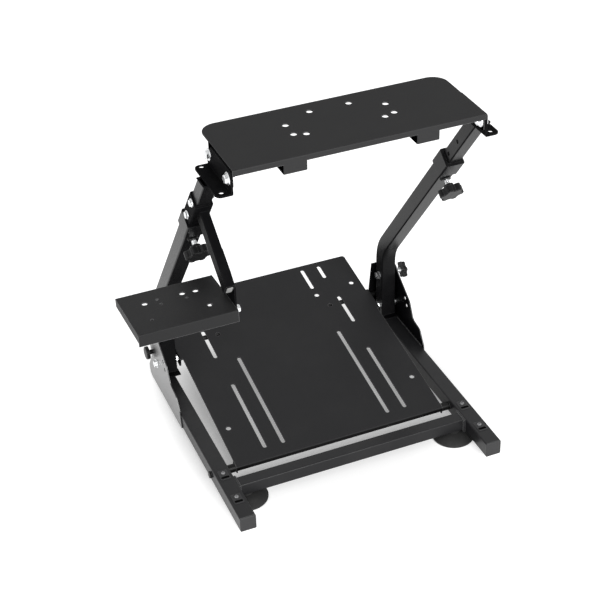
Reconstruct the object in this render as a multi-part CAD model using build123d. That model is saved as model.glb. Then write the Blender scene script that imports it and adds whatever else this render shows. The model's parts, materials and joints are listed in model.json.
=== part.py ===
from build123d import *
import math
import os

os.makedirs("parts", exist_ok=True)

# Sizes in millimetres. Floor at z = 0, the user sits at -Y, +X is the user's right.

# Base frame
RAIL = 30.0           # square rail tube
RAIL_WALL = 1.5
RAIL_Z0 = 14.0        # underside of the rails
STANCE = 355.0        # front cross tube to fold axis
FRONT_OVER = 97.5     # rail beyond the front cross tube
REAR_OVER = 47.5      # rail beyond the fold axis
CORNER = 2.5          # outside corner radius of every tube
CAP_T = 2.5           # plastic cap outside the rail end
CAP_PLUG = 12.0
CAP_EDGE = 0.8
CROSS = 25.0          # square cross tube
CROSS_PLATE_T = 3.0
CROSS_PLATE_W = 32.0
CROSS_PLATE_IN = 1.0  # end plate inside the rail's height
FOOT_INSET = 17.0     # rail to the front foot's middle
FOOT_R = 40.0
FOOT_EDGE = 4.0       # upright rim of the foot
FOOT_BREAK = 1.5
FOOT_BOSS_R = 12.0
FOOT_CLEAR = 1.0      # dome under the rail
REAR_FOOT_R = 11.0
REAR_FOOT_IN = (18.0, 25.0)             # its middle, from the rail's outer side and rear end
SHEET = 2.0           # pressed sheet of gussets, pedal plate, deck and tray

# Gussets: outlines run out from the fold axis, with heights as shares of the rise over it
GUSSET_OVER = 16.0    # lock knob's axis to the plate's top
GUSSET_TOE = -139.5
GUSSET_HEEL = 57.5
GUSSET_HEEL_H = 23.5  # upright edge at the heel
GUSSET_HEEL_R = 14.0
GUSSET_FORE = ((-133.5, -0.288, 12.0), (-115.5, 0.017, 12.0), (-85.5, 0.073, 14.0),
               (-69.5, 0.446, 16.0), (-17.5, 0.842, 8.0))
GUSSET_TOP = (-3.5, 25.5)
GUSSET_AFT = ((36.5, 0.22, 8.0), (34.0, -0.05, 8.0))
GUSSET_ROUND = 6.0
WEB_GAP = 1.0         # tie rod to the inner gusset's rear web
WEB_KNEE = 0.243      # height of the web's bend, as a share of the rise
WEB_LEAN = 13.0       # top of the web in front of its bend
WEB_SPLAY = 4.0       # foot of the web behind its bend
WEB_BASE = 56.0       # its flange along the rail
PIN_RING = 60.5       # fold axis to the pin holes
PIN_DEG = (0.0, 53.3, 68.2)
PIN_HOLE_R = 4.0
ROD_R = 4.75          # tie rod behind the arms, under the pedal plate
ROD_S = 31.0          # fold axis to the rod, along the plate's slope
ROD_OUT = 6.0         # bare rod outside the gusset
ROD_HEAD_R = 13.0
ROD_HEAD_T = 7.0

# Uprights
ARM = 30.0            # square lower tube
ARM_GAP = 5.0         # arm to outer gusset
INNER_GAP = 6.0       # arm to pedal ear
FOLD_Z = 75.5         # fold axis over the floor
FOLD_BOLT_R = 4.0
HEX_R = 7.0           # fold bolt's hexagons, to their corners
HEX_HEAD = 5.5
HEX_NUT = 6.5
BOLT_TAIL = 1.0
SPACER_R = 8.0
RUN = 0.05            # running clearance on a radius
PLAY = 0.15           # side play at a spacer
ARM_FOOT = 18.5       # fold axis to the arm's lower end
KNEE_Z = 210.0        # height where the two straight runs would meet
BEND_R = 90.0         # centreline
LEAN = 51.7           # degrees above level
COLLAR = 36.0
COLLAR_L = 44.0
COLLAR_LIP = 3.0
COLLAR_ROUND = 3.0
CLAMP_BELOW = 13.0    # collar to the clamp stud
CLAMP_NUT_R = 9.0
CLAMP_NUT_H = 5.0

# Star knobs
LOBES = 6
KNOB_EDGE = 1.2
STUD_R = 4.0
STUD_TIP = 0.3        # stud tip to the face that it presses
LOCK_R = 72.5         # fold axis to the lock knob
LOCK_STUD = 12.0      # bare stud outside the gusset
LOCK_KNOB_R = 17.5
LOCK_KNOB_T = 8.5
CLAMP_STUD = 10.0     # bare stud over the welded nut
CLAMP_BOSS_R = 9.0
CLAMP_BOSS_H = 7.0
CLAMP_KNOB_R = 23.0
CLAMP_KNOB_T = 14.0

# Upper frame
UPPER = 25.0          # square inner tube
UPPER_WALL = 1.5
SLIDE_GAP = 0.1
UPPER_SHOW = 147.3    # tube top to the arm's end
UPPER_IN = 213.0      # tube inside the arm
HOLE_DOWN = (128.8, 80.5)               # tube top to its cross holes
HOLE_R = 4.0
DECK_TOP = 701.0
DECK_FORE = 57.9      # tube top to the deck's near edge
DECK_DEPTH = 162.0
DECK_HALF = 216.0
DECK_CORNER = 28.0
DECK_LIP = 10.0
DECK_TAB_X = 113.5    # middle of a boxed tab under the near edge
DECK_TAB_W = 40.0
DECK_TAB_DROP = 26.5
DECK_TAB_DEEP = 34.0
DECK_FLANGE = 33.0
DECK_FLANGE_IN = 4.0  # flange behind the near edge
DECK_HOLES = ((34.5, 132.5), (87.4, 104.5), (87.1, 71.0), (68.1, 64.2))
DECK_HOLE_R = 5.5
BRACKET_T = 3.0
BRACKET_DROP = 39.5                     # deck top to bracket ear top
BRACKET_L = 109.0
BRACKET_IN = 1.0                        # bracket behind the near edge
BRACKET_EAR = 27.0                      # ear beyond the deck
BRACKET_OVER = 7.0                      # ear beyond the tube's middle
BRACKET_SLOPE = (20.0, 16.0)            # cut corner of the leg
BRACKET_ROUND = 4.0
EAR_ROUND = 9.0
BRACKET_HOLE_IN = 11.5                  # from the ear's outer edge
BRACKET_HOLE_Y = (12.0, 103.0)          # from the bracket's near end
BRACKET_HOLE_R = 4.5

# Pedal plate, stated on its own slope: x, then run from the front edge
PEDAL_BEHIND = 41.6   # front edge behind the front cross tube's middle
PEDAL_OVER = 10.4     # top face over the fold axis
PEDAL_TILT = 9.5
PEDAL_HALF = 209.3
PEDAL_GAP = 5.7       # plate to its ear's outer face
PEDAL_L = 469.0
PEDAL_LIP = 10.0
PEDAL_ROUND = 6.0
PEDAL_TAB_L = 20.0
PEDAL_TAB_EDGE = 7.5  # tab below its bolt
PEDAL_BOLT_S = 8.1
PEDAL_BOLT_DROP = 7.95
PEDAL_BOLT_R = 2.5
PEDAL_HEAD_R = 6.5
PEDAL_HEAD_T = 4.0
PEDAL_NUT_R = 4.6
PEDAL_NUT_T = 5.0
PEDAL_SLOT_R = 3.75
PEDAL_SLOTS = ((106.6, 26.0, 263.0), (143.0, 27.0, 200.0), (148.0, 277.0, 357.0),
               (108.0, 396.0, 457.0), (145.0, 418.0, 457.0))
PEDAL_HOLES = ((122.0, 338.0), (108.0, 375.0))
PEDAL_SIDE_HOLES = ((19.3, 95.5), (19.3, 385.0))    # from the plate's side
PEDAL_HOLE_R = 4.75
PEDAL_EAR = (-16.4, 41.6)               # ear along the slope, from the fold axis
PEDAL_EAR_DROP = 22.0
PEDAL_EAR_ROUND = 8.0

# Shifter mount on the left tube
SLEEVE_WALL = 3.0
SLEEVE_EDGE = 9.8     # sleeve beyond the cross holes
SHIFT_IN = 3.0        # arm set in from the tube's middle
SHIFT_W = 16.0
SHIFT_H = 28.0
SHIFT_WALL = 1.5
SHIFT_DROP = 36.3     # degrees below level
SHIFT_L = 150.0
PLATE_T = 3.0
PLATE_L = 58.0
PLATE_CUT = 20.0
PLATE_OVER = 4.7      # plate's sloping edge over the arm's middle
PLATE_BELOW = 4.0     # plate below the tray's side
PLATE_ROUND = 4.0
TRAY_FORE = 15.5      # tray edge in front of the arm's end
TRAY_BELOW = 31.6     # tray top below the arm's end
TRAY_TILT = -4.1
TRAY_W = 166.7
TRAY_DEPTH = 128.9
TRAY_LIP = 21.0
TRAY_SIDE = 15.0
TRAY_HOLES = ((128.3, 90.5, 4.75), (63.5, 94.0, 4.75), (41.2, 92.3, 4.75), (35.0, 38.2, 4.75),
              (106.0, 94.5, 2.75), (104.5, 77.9, 2.75), (61.1, 77.0, 2.75), (132.6, 36.5, 2.75))

# Places worked out from the sizes above: first across the stand, from the pedal plate outward
EAR_X = PEDAL_HALF + PEDAL_GAP
ARM_X = EAR_X + INNER_GAP + ARM / 2
RAIL_OUT = ARM_X + ARM / 2 + ARM_GAP
RAIL_IN = RAIL_OUT - RAIL
RAIL_X = RAIL_OUT - RAIL / 2
SKIN = RAIL_OUT + SHEET
FOOT_X = RAIL_IN - FOOT_INSET

# Along and up the base
FOLD_Y = STANCE / 2
RAIL_FRONT = -FOLD_Y - FRONT_OVER
RAIL_REAR = FOLD_Y + REAR_OVER
RAIL_TOP = RAIL_Z0 + RAIL
CROSS_Z = RAIL_Z0 + RAIL / 2
FOOT_H = CROSS_Z - CROSS / 2
RISE = LOCK_R + GUSSET_OVER
PEDAL_FRONT = STANCE - PEDAL_BEHIND
SLOPE = Pos(0, FOLD_Y, FOLD_Z) * Rot(PEDAL_TILT, 0, 0) * Pos(0, -PEDAL_FRONT, PEDAL_OVER)
PEDAL_BOLT = (SLOPE * Pos(0, PEDAL_BOLT_S, -PEDAL_BOLT_DROP)).position
ROD_DROP = SHEET + RUN + ROD_R
ROD = (SLOPE * Pos(0, PEDAL_FRONT + ROD_S, -ROD_DROP)).position

# Along the leaning run, measured from the knee
COS, SIN = math.cos(math.radians(LEAN)), math.sin(math.radians(LEAN))
UP = (0, -COS, SIN)
FRONT = (0, -SIN, -COS)
EAR_TOP = DECK_TOP - BRACKET_DROP
TUBE_S = (EAR_TOP - KNEE_Z) / SIN
ARM_S = TUBE_S - UPPER_SHOW
COLLAR_S1 = ARM_S + COLLAR_LIP
COLLAR_S0 = COLLAR_S1 - COLLAR_L
CLAMP_S = COLLAR_S0 - CLAMP_BELOW
HOLE_S = [TUBE_S - down for down in HOLE_DOWN]
SLEEVE_S = (HOLE_S[0] - SLEEVE_EDGE, HOLE_S[1] + SLEEVE_EDGE)
DECK_Y0 = FOLD_Y - TUBE_S * COS - DECK_FORE


def save(name, shape):
    export_step(shape, f"parts/{name}.step")


def save_pair(name, shape):
    """The piece as drawn on the right, and its mirror image on the left."""
    save("right_" + name, shape)
    save("left_" + name, mirror(shape, about=Plane.YZ))


def block(x0, x1, y0, y1, z0, z1):
    mid = ((x0 + x1) / 2, (y0 + y1) / 2, (z0 + z1) / 2)
    return Pos(*mid) * Box(abs(x1 - x0), abs(y1 - y0), abs(z1 - z0))


def rod(r, x0, x1, y, z):
    """Round bar along X."""
    return Pos((x0 + x1) / 2, y, z) * Rot(0, 90, 0) * Cylinder(r, x1 - x0)


def hexagon(r, x0, x1, y, z):
    return extrude(Plane.YZ.offset(x0) * Pos(y, z) * RegularPolygon(r, 6), x1 - x0)


def side_plate(corners, x0, x1):
    """Flat plate across X from (y, z, corner radius) points."""
    face = Plane.YZ.offset(x0) * Polygon(*[(y, z) for y, z, _ in corners], align=None)
    for y, z, r in corners:
        if r:
            nearest = min(face.vertices(), key=lambda v: math.hypot(v.Y - y, v.Z - z))
            face = fillet(nearest, r)
    return extrude(face, x1 - x0, dir=(1, 0, 0))


def lipped(x0, x1, y0, y1, top, lip):
    """Level sheet whose near edge is folded down."""
    return side_plate(((y0, top - lip, 0), (y0, top, SHEET), (y1, top, 0), (y1, top - SHEET, 0),
                       (y0 + SHEET, top - SHEET, 0), (y0 + SHEET, top - lip, 0)), x0, x1)


def edges_at(shape, axis, x=None, y=None, z=None):
    """Edges along an axis whose middle lies at the given coordinates."""
    found = []
    for edge in shape.edges().filter_by(axis):
        c = edge.center()
        if all(want is None or abs(want - got) < 0.01 for want, got in ((x, c.X), (y, c.Y), (z, c.Z))):
            found.append(edge)
    return found


def square(size_x, size_y=None, r=CORNER):
    return RectangleRounded(size_x, size_y or size_x, r)


def on_arm(s, n=0.0):
    """Point on the right leaning run: s up from the knee, n out of its front face."""
    return (ARM_X, FOLD_Y - s * COS - n * SIN, KNEE_Z + s * SIN - n * COS)


def arm_run(sketch, s0, s1):
    return extrude(Plane(origin=on_arm(s0), x_dir=(1, 0, 0), z_dir=UP) * sketch, s1 - s0)


def cross_holes(shape):
    """The shape with the two bolt holes of the upper tube."""
    for s in HOLE_S:
        _, y, z = on_arm(s)
        shape -= rod(HOLE_R, ARM_X - ARM, ARM_X + ARM, y, z)
    return shape


def star(radius, height):
    """Star grip standing on z = 0, with softened rims."""
    grip = Circle(0.78 * radius)
    for loc in PolarLocations(0.72 * radius, LOBES):
        grip += loc * Circle(0.28 * radius)
    body = extrude(grip, height)
    return chamfer(body.faces().sort_by(Axis.Z)[-1].edges(), KNOB_EDGE)


# Rails with their end caps
rail = block(RAIL_IN, RAIL_OUT, RAIL_FRONT + CAP_T, RAIL_REAR - CAP_T, RAIL_Z0, RAIL_TOP)
rail = fillet(rail.edges().filter_by(Axis.Y), CORNER)
rail -= block(RAIL_IN + RAIL_WALL, RAIL_OUT - RAIL_WALL, RAIL_FRONT, RAIL_REAR,
              RAIL_Z0 + RAIL_WALL, RAIL_TOP - RAIL_WALL)
rail -= rod(PEDAL_BOLT_R, RAIL_IN - 1, RAIL_OUT + 1, PEDAL_BOLT.Y, PEDAL_BOLT.Z)
save_pair("rail", rail)

plug = RAIL - 2 * RAIL_WALL
caps = []
for end, out in ((RAIL_FRONT, 1), (RAIL_REAR, -1)):
    cap = block(RAIL_IN, RAIL_OUT, end, end + out * CAP_T, RAIL_Z0, RAIL_TOP)
    cap = fillet(cap.edges().filter_by(Axis.Y), CORNER)
    rim = cap.faces().sort_by(Axis.Y)[0 if out > 0 else -1].edges()
    cap = chamfer(rim, CAP_EDGE)
    caps.append(cap + block(RAIL_X - plug / 2, RAIL_X + plug / 2, end + out * CAP_T,
                            end + out * (CAP_T + CAP_PLUG), CROSS_Z - plug / 2, CROSS_Z + plug / 2))
save_pair("rail_caps", Compound(caps))

# Front cross tube with its end plates
tube_end = RAIL_IN - CROSS_PLATE_T
near, far = -FOLD_Y - CROSS / 2, -FOLD_Y + CROSS / 2
bar = block(-tube_end, tube_end, near, far, CROSS_Z - CROSS / 2, CROSS_Z + CROSS / 2)
bar = fillet(bar.edges().filter_by(Axis.X), CORNER)
bar -= block(-tube_end - 1, tube_end + 1, near + RAIL_WALL, far - RAIL_WALL,
             CROSS_Z - CROSS / 2 + RAIL_WALL, CROSS_Z + CROSS / 2 - RAIL_WALL)
for x0, x1 in ((-RAIL_IN, -tube_end), (tube_end, RAIL_IN)):
    bar += block(x0, x1, -FOLD_Y - CROSS_PLATE_W / 2, -FOLD_Y + CROSS_PLATE_W / 2,
                 RAIL_Z0 + CROSS_PLATE_IN, RAIL_TOP - CROSS_PLATE_IN)
save("front_cross_tube", bar)

# Feet: wide domes under the cross tube, small ones under the rails' rear ends
dome_top = RAIL_Z0 - FOOT_CLEAR
outline = Polyline((0, 0), (FOOT_R - FOOT_BREAK, 0), (FOOT_R, FOOT_BREAK), (FOOT_R, FOOT_EDGE))
outline += Spline((FOOT_R, FOOT_EDGE), (0.7 * FOOT_R, 0.78 * dome_top), (FOOT_BOSS_R, dome_top))
outline += Polyline((FOOT_BOSS_R, dome_top), (FOOT_BOSS_R, FOOT_H), (0, FOOT_H), (0, 0))
foot = revolve(Plane.XZ * make_face(outline), Axis.Z)
save("front_left_foot", Pos(-FOOT_X, -FOLD_Y, 0) * foot)
save("front_right_foot", Pos(FOOT_X, -FOLD_Y, 0) * foot)

small = Pos(RAIL_OUT - REAR_FOOT_IN[0], RAIL_REAR - REAR_FOOT_IN[1], RAIL_Z0 / 2) * Cylinder(REAR_FOOT_R, RAIL_Z0)
small = fillet(small.faces().sort_by(Axis.Z)[0].edges(), FOOT_BREAK)
save("rear_right_foot", small)
save("rear_left_foot", mirror(small, about=Plane.YZ))

# Outer gusset: a tall plate on the rail's side, with lock, pin and fold holes and a notch for the rod
top = FOLD_Z + RISE
shape = [(FOLD_Y + GUSSET_TOE, RAIL_Z0, GUSSET_ROUND / 2)]
shape += [(FOLD_Y + out, FOLD_Z + up * RISE, r) for out, up, r in GUSSET_FORE]
shape += [(FOLD_Y + out, top, GUSSET_ROUND) for out in GUSSET_TOP]
shape += [(FOLD_Y + out, FOLD_Z + up * RISE, r) for out, up, r in GUSSET_AFT]
shape += [(FOLD_Y + GUSSET_HEEL, RAIL_Z0 + GUSSET_HEEL_H, GUSSET_ROUND),
          (FOLD_Y + GUSSET_HEEL, RAIL_Z0, GUSSET_HEEL_R)]
outer = side_plate(shape, RAIL_OUT, SKIN)
lock_z = FOLD_Z + LOCK_R
notch = ROD_R + RUN
holes = [(STUD_R + RUN, FOLD_Y, lock_z), (FOLD_BOLT_R, FOLD_Y, FOLD_Z), (notch, ROD.Y, ROD.Z)]
for deg in PIN_DEG:
    a = math.radians(deg)
    holes.append((PIN_HOLE_R, FOLD_Y - PIN_RING * math.sin(a), FOLD_Z + PIN_RING * math.cos(a)))
for r, y, z in holes:
    outer -= rod(r, RAIL_OUT - 1, SKIN + 1, y, z)
outer -= block(RAIL_OUT - 1, SKIN + 1, ROD.Y, ROD.Y + GUSSET_HEEL, ROD.Z - notch, ROD.Z + notch)
save_pair("outer_gusset", outer)

# Inner gusset: a folded strip that closes the space behind the arm and lies along the rail
knee_y = ROD.Y + ROD_R + WEB_GAP + SHEET
back = ((knee_y - WEB_LEAN, top), (knee_y, FOLD_Z + WEB_KNEE * RISE), (knee_y + WEB_SPLAY, RAIL_TOP))
web = [(y, z, 0) for y, z in back] + [(y - SHEET, z, 0) for y, z in reversed(back)]
inner = side_plate(web, EAR_X, RAIL_OUT)
inner += block(EAR_X, RAIL_OUT, back[-1][0] - WEB_BASE, back[-1][0], RAIL_TOP, RAIL_TOP + SHEET)
save_pair("inner_gusset", inner)

# Tie rod through both pedal ears and gussets, with a round head on each end
rod_end = SKIN + ROD_OUT
tie = rod(ROD_R, -rod_end, rod_end, ROD.Y, ROD.Z)
for x0, x1 in ((-rod_end - ROD_HEAD_T, -rod_end), (rod_end, rod_end + ROD_HEAD_T)):
    head = rod(ROD_HEAD_R, x0, x1, ROD.Y, ROD.Z)
    tie += chamfer(head.faces().sort_by(Axis.X)[0 if x0 < 0 else -1].edges(), KNOB_EDGE)
save("tie_rod", tie)

# Fold bolt through pedal ear, arm and outer gusset, with a nut on each side of the ear and a spacer
ear_in = EAR_X - SHEET
bolt = rod(FOLD_BOLT_R, ear_in - HEX_NUT - BOLT_TAIL, SKIN + BOLT_TAIL, FOLD_Y, FOLD_Z)
bolt += hexagon(HEX_R, SKIN, SKIN + HEX_HEAD, FOLD_Y, FOLD_Z)
bolt += hexagon(HEX_R, ear_in - HEX_NUT, ear_in, FOLD_Y, FOLD_Z)
bolt += rod(SPACER_R, ARM_X + ARM / 2 + PLAY, RAIL_OUT, FOLD_Y, FOLD_Z)
bolt += hexagon(HEX_R, EAR_X, ARM_X - ARM / 2 - PLAY, FOLD_Y, FOLD_Z)
save_pair("fold_bolt", bolt)

# Pedal plate, drawn flat and then set on its slope
plate = lipped(-PEDAL_HALF, PEDAL_HALF, 0, PEDAL_L, 0, PEDAL_LIP)
plate = fillet(edges_at(plate, Axis.Z, y=PEDAL_L), PEDAL_ROUND)
pedal_holes = PEDAL_HOLES + tuple((PEDAL_HALF - inset, s) for inset, s in PEDAL_SIDE_HOLES)
for x, s in pedal_holes:
    for side in (-x, x):
        plate -= Pos(side, s, 0) * Cylinder(PEDAL_HOLE_R, 4 * SHEET)
for x, s0, s1 in PEDAL_SLOTS:
    for side in (-x, x):
        cut = SlotOverall(s1 - s0, 2 * PEDAL_SLOT_R, rotation=90)
        plate -= extrude(Pos(side, (s0 + s1) / 2, -2 * SHEET) * cut, 4 * SHEET)
ear_0, ear_1 = [PEDAL_FRONT + along for along in PEDAL_EAR]
for side in (-1, 1):
    tab = block(side * (PEDAL_HALF - SHEET), side * PEDAL_HALF, 0, PEDAL_TAB_L,
                -PEDAL_BOLT_DROP - PEDAL_TAB_EDGE, -SHEET)
    tab -= rod(PEDAL_BOLT_R, -RAIL_OUT, RAIL_OUT, PEDAL_BOLT_S, -PEDAL_BOLT_DROP)
    ear = block(side * ear_in, side * EAR_X, ear_0, ear_1, -PEDAL_EAR_DROP, 0)
    ear = fillet(edges_at(ear, Axis.X, z=-PEDAL_EAR_DROP), PEDAL_EAR_ROUND)
    ear += block(side * (PEDAL_HALF - SHEET), side * ear_in, ear_0, ear_1, -SHEET, 0)
    ear = fillet(edges_at(ear, Axis.Y, x=side * EAR_X, z=0), 0.9 * SHEET)
    ear -= rod(FOLD_BOLT_R, -RAIL_OUT, RAIL_OUT, PEDAL_FRONT, -PEDAL_OVER)
    ear -= rod(ROD_R, -RAIL_OUT, RAIL_OUT, PEDAL_FRONT + ROD_S, -ROD_DROP)
    plate += tab + ear
save("pedal_plate", SLOPE * plate)

pin = rod(PEDAL_BOLT_R, PEDAL_HALF - SHEET - PEDAL_NUT_T - BOLT_TAIL, RAIL_OUT + BOLT_TAIL,
          PEDAL_BOLT.Y, PEDAL_BOLT.Z)
pin += rod(PEDAL_HEAD_R, RAIL_OUT, RAIL_OUT + PEDAL_HEAD_T, PEDAL_BOLT.Y, PEDAL_BOLT.Z)
pin += rod(SPACER_R, PEDAL_HALF, RAIL_IN, PEDAL_BOLT.Y, PEDAL_BOLT.Z)
pin += hexagon(PEDAL_NUT_R, PEDAL_HALF - SHEET - PEDAL_NUT_T, PEDAL_HALF - SHEET, PEDAL_BOLT.Y, PEDAL_BOLT.Z)
save_pair("pedal_bolt", pin)

# Lower arms: square tube swept round one bend, bored for the sliding tube
half_bend = math.radians(90 - LEAN) / 2
tangent = BEND_R * math.tan(half_bend)
arm_foot = (ARM_X, FOLD_Y, FOLD_Z - ARM_FOOT)
bend_foot = (ARM_X, FOLD_Y, KNEE_Z - tangent)
bend_mid = (ARM_X, FOLD_Y - BEND_R * (1 - math.cos(half_bend)), KNEE_Z - tangent + BEND_R * math.sin(half_bend))
path = Line(arm_foot, bend_foot)
path += ThreePointArc(bend_foot, bend_mid, on_arm(tangent))
path += Line(on_arm(tangent), on_arm(ARM_S))
start = Plane(origin=arm_foot, x_dir=(1, 0, 0), z_dir=(0, 0, 1))
bore = UPPER + 2 * SLIDE_GAP
arm = sweep(start * square(ARM), path=path) - sweep(start * square(bore), path=path)
clamp_plane = Plane(origin=on_arm(CLAMP_S), x_dir=(1, 0, 0), z_dir=FRONT)
nut_top = ARM / 2 + CLAMP_NUT_H
arm += extrude(clamp_plane.offset(ARM / 2) * Circle(CLAMP_NUT_R), CLAMP_NUT_H)
arm -= extrude(clamp_plane * Circle(STUD_R + RUN), nut_top + 1)
arm -= rod(FOLD_BOLT_R + RUN, EAR_X, RAIL_OUT, FOLD_Y, FOLD_Z)
save_pair("lower_arm", arm)

collar = arm_run(square(COLLAR, r=COLLAR_ROUND), COLLAR_S0, COLLAR_S1)
collar -= arm_run(square(ARM), COLLAR_S0, ARM_S)
collar -= arm_run(square(bore), ARM_S, COLLAR_S1)
save_pair("collar", collar)

# Knobs: lock knob through the outer gusset, clamp knob under the collar
knob_x = SKIN + LOCK_STUD
knob = rod(STUD_R, ARM_X + ARM / 2 + STUD_TIP, knob_x + 1, FOLD_Y, lock_z)
knob += Pos(knob_x, FOLD_Y, lock_z) * Rot(0, 90, 0) * star(LOCK_KNOB_R, LOCK_KNOB_T)
save_pair("lock_knob", knob)

tip = UPPER / 2 + STUD_TIP
boss = nut_top + CLAMP_STUD
knob = extrude(clamp_plane.offset(tip) * Circle(STUD_R), boss + 1 - tip)
knob += extrude(clamp_plane.offset(boss) * Circle(CLAMP_BOSS_R), CLAMP_BOSS_H + 1)
knob += clamp_plane.offset(boss + CLAMP_BOSS_H) * star(CLAMP_KNOB_R, CLAMP_KNOB_T)
save_pair("clamp_knob", knob)

# Upper tubes, cut level under the brackets
tube = arm_run(square(UPPER) - square(UPPER - 2 * UPPER_WALL, r=CORNER - UPPER_WALL),
               ARM_S - UPPER_IN, TUBE_S + UPPER)
_, cut_y, _ = on_arm(TUBE_S)
tube -= block(ARM_X - ARM, ARM_X + ARM, cut_y - 4 * UPPER, cut_y + 4 * UPPER,
              EAR_TOP - BRACKET_T, EAR_TOP + 4 * UPPER)
save_pair("upper_tube", cross_holes(tube))

# Angle brackets between tubes and deck
y0, y1 = DECK_Y0 + BRACKET_IN, DECK_Y0 + BRACKET_IN + BRACKET_L
leg_top = DECK_TOP - SHEET - RUN
ear_z = EAR_TOP - BRACKET_T
leg = side_plate(((y0, ear_z, 0), (y0, leg_top, BRACKET_ROUND), (y1 - BRACKET_SLOPE[0], leg_top, BRACKET_ROUND),
                  (y1, leg_top - BRACKET_SLOPE[1], BRACKET_ROUND), (y1, ear_z, 0)),
                 DECK_HALF, DECK_HALF + BRACKET_T)
ear_out = max(DECK_HALF + BRACKET_EAR, ARM_X + BRACKET_OVER)
ear = block(min(DECK_HALF, ARM_X - UPPER / 2), ear_out, y0, y1, ear_z, EAR_TOP)
ear = fillet(edges_at(ear, Axis.Z, x=ear_out), EAR_ROUND)
for y in BRACKET_HOLE_Y:
    ear -= Pos(ear_out - BRACKET_HOLE_IN, y0 + y, EAR_TOP) * Cylinder(BRACKET_HOLE_R, 4 * BRACKET_T)
bracket = leg + ear
inner_edge = min(e.center().X for e in bracket.edges().filter_by(Axis.Y))
save_pair("deck_bracket", fillet(edges_at(bracket, Axis.Y, x=inner_edge, z=ear_z), 0.9 * BRACKET_T))

# Wheel deck, one folded sheet
far = DECK_Y0 + DECK_DEPTH
deck = lipped(-DECK_HALF, DECK_HALF, DECK_Y0, far, DECK_TOP, DECK_LIP)
deck = fillet(edges_at(deck, Axis.Z, y=far), DECK_CORNER)
under = DECK_TOP - SHEET
for side in (-1, 1):
    x0, x1 = [side * DECK_TAB_X + half * DECK_TAB_W / 2 for half in (-1, 1)]
    tab = block(x0, x1, DECK_Y0, DECK_Y0 + DECK_TAB_DEEP, DECK_TOP - DECK_TAB_DROP, under)
    tab = fillet(edges_at(tab, Axis.Z, y=DECK_Y0), SHEET)
    tab -= block(x0 + SHEET, x1 - SHEET, DECK_Y0 + SHEET, DECK_Y0 + DECK_TAB_DEEP + 1,
                 DECK_TOP - DECK_TAB_DROP + SHEET, under)
    flange = block(side * (DECK_HALF - SHEET), side * DECK_HALF, DECK_Y0 + DECK_FLANGE_IN, y1,
                   DECK_TOP - DECK_FLANGE, under)
    deck += tab + fillet(edges_at(flange, Axis.X, z=DECK_TOP - DECK_FLANGE), GUSSET_ROUND)
    for x, y in DECK_HOLES:
        deck -= Pos(side * x, DECK_Y0 + y, DECK_TOP) * Cylinder(DECK_HOLE_R, 4 * SHEET)
save("wheel_deck", deck)

# Shifter mount on the left: sleeve, dropping arm, upright plate, folded tray
sleeve_size = UPPER + 2 * SLEEVE_WALL
sleeve = cross_holes(arm_run(square(sleeve_size) - square(UPPER), *SLEEVE_S))
save("shifter_sleeve", mirror(sleeve, about=Plane.YZ))

shift_x = SHIFT_IN - ARM_X
_, root_y, root_z = on_arm(sum(HOLE_S) / 2)
fall = math.radians(SHIFT_DROP)
along = Plane(origin=(shift_x, root_y, root_z), x_dir=(1, 0, 0), z_dir=(0, -math.cos(fall), -math.sin(fall)))
bar = extrude(along * square(SHIFT_W, SHIFT_H), SHIFT_L)
bar -= extrude(along * square(SHIFT_W - 2 * SHIFT_WALL, SHIFT_H - 2 * SHIFT_WALL, CORNER - SHIFT_WALL),
               SHIFT_L - SHIFT_WALL)
bar -= mirror(arm_run(square(sleeve_size), SLEEVE_S[0] - ARM, SLEEVE_S[1] + ARM), about=Plane.YZ)
save("shifter_arm", bar.solids().sort_by(SortBy.VOLUME)[-1])

tray_x = shift_x + SHIFT_W / 2
end_y, end_z = root_y - SHIFT_L * math.cos(fall), root_z - SHIFT_L * math.sin(fall)
tray_y, tray_z = end_y - TRAY_FORE, end_z - TRAY_BELOW
plate_foot = tray_z - TRAY_SIDE - PLATE_BELOW
corners = [(end_y, plate_foot), (end_y, end_z)]
corners += [(end_y + run, end_z + PLATE_OVER + run * math.tan(fall)) for run in (PLATE_CUT, PLATE_L)]
corners += [(end_y + PLATE_L, plate_foot)]
save("shifter_plate", side_plate([(y, z, PLATE_ROUND) for y, z in corners], tray_x, tray_x + PLATE_T))

tray = lipped(-TRAY_W, 0, 0, TRAY_DEPTH, 0, TRAY_LIP)
for x in (-TRAY_W, -SHEET):
    tray += block(x, x + SHEET, 0, TRAY_DEPTH, -TRAY_SIDE, -SHEET)
for from_right, from_front, r in TRAY_HOLES:
    tray -= Pos(-from_right, from_front, 0) * Cylinder(r, 4 * SHEET)
save("shifter_tray", Pos(tray_x, tray_y, tray_z) * Rot(TRAY_TILT, 0, 0) * tray)
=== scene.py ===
import bpy
import bmesh
import json
import math
from mathutils import Matrix, Vector


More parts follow.
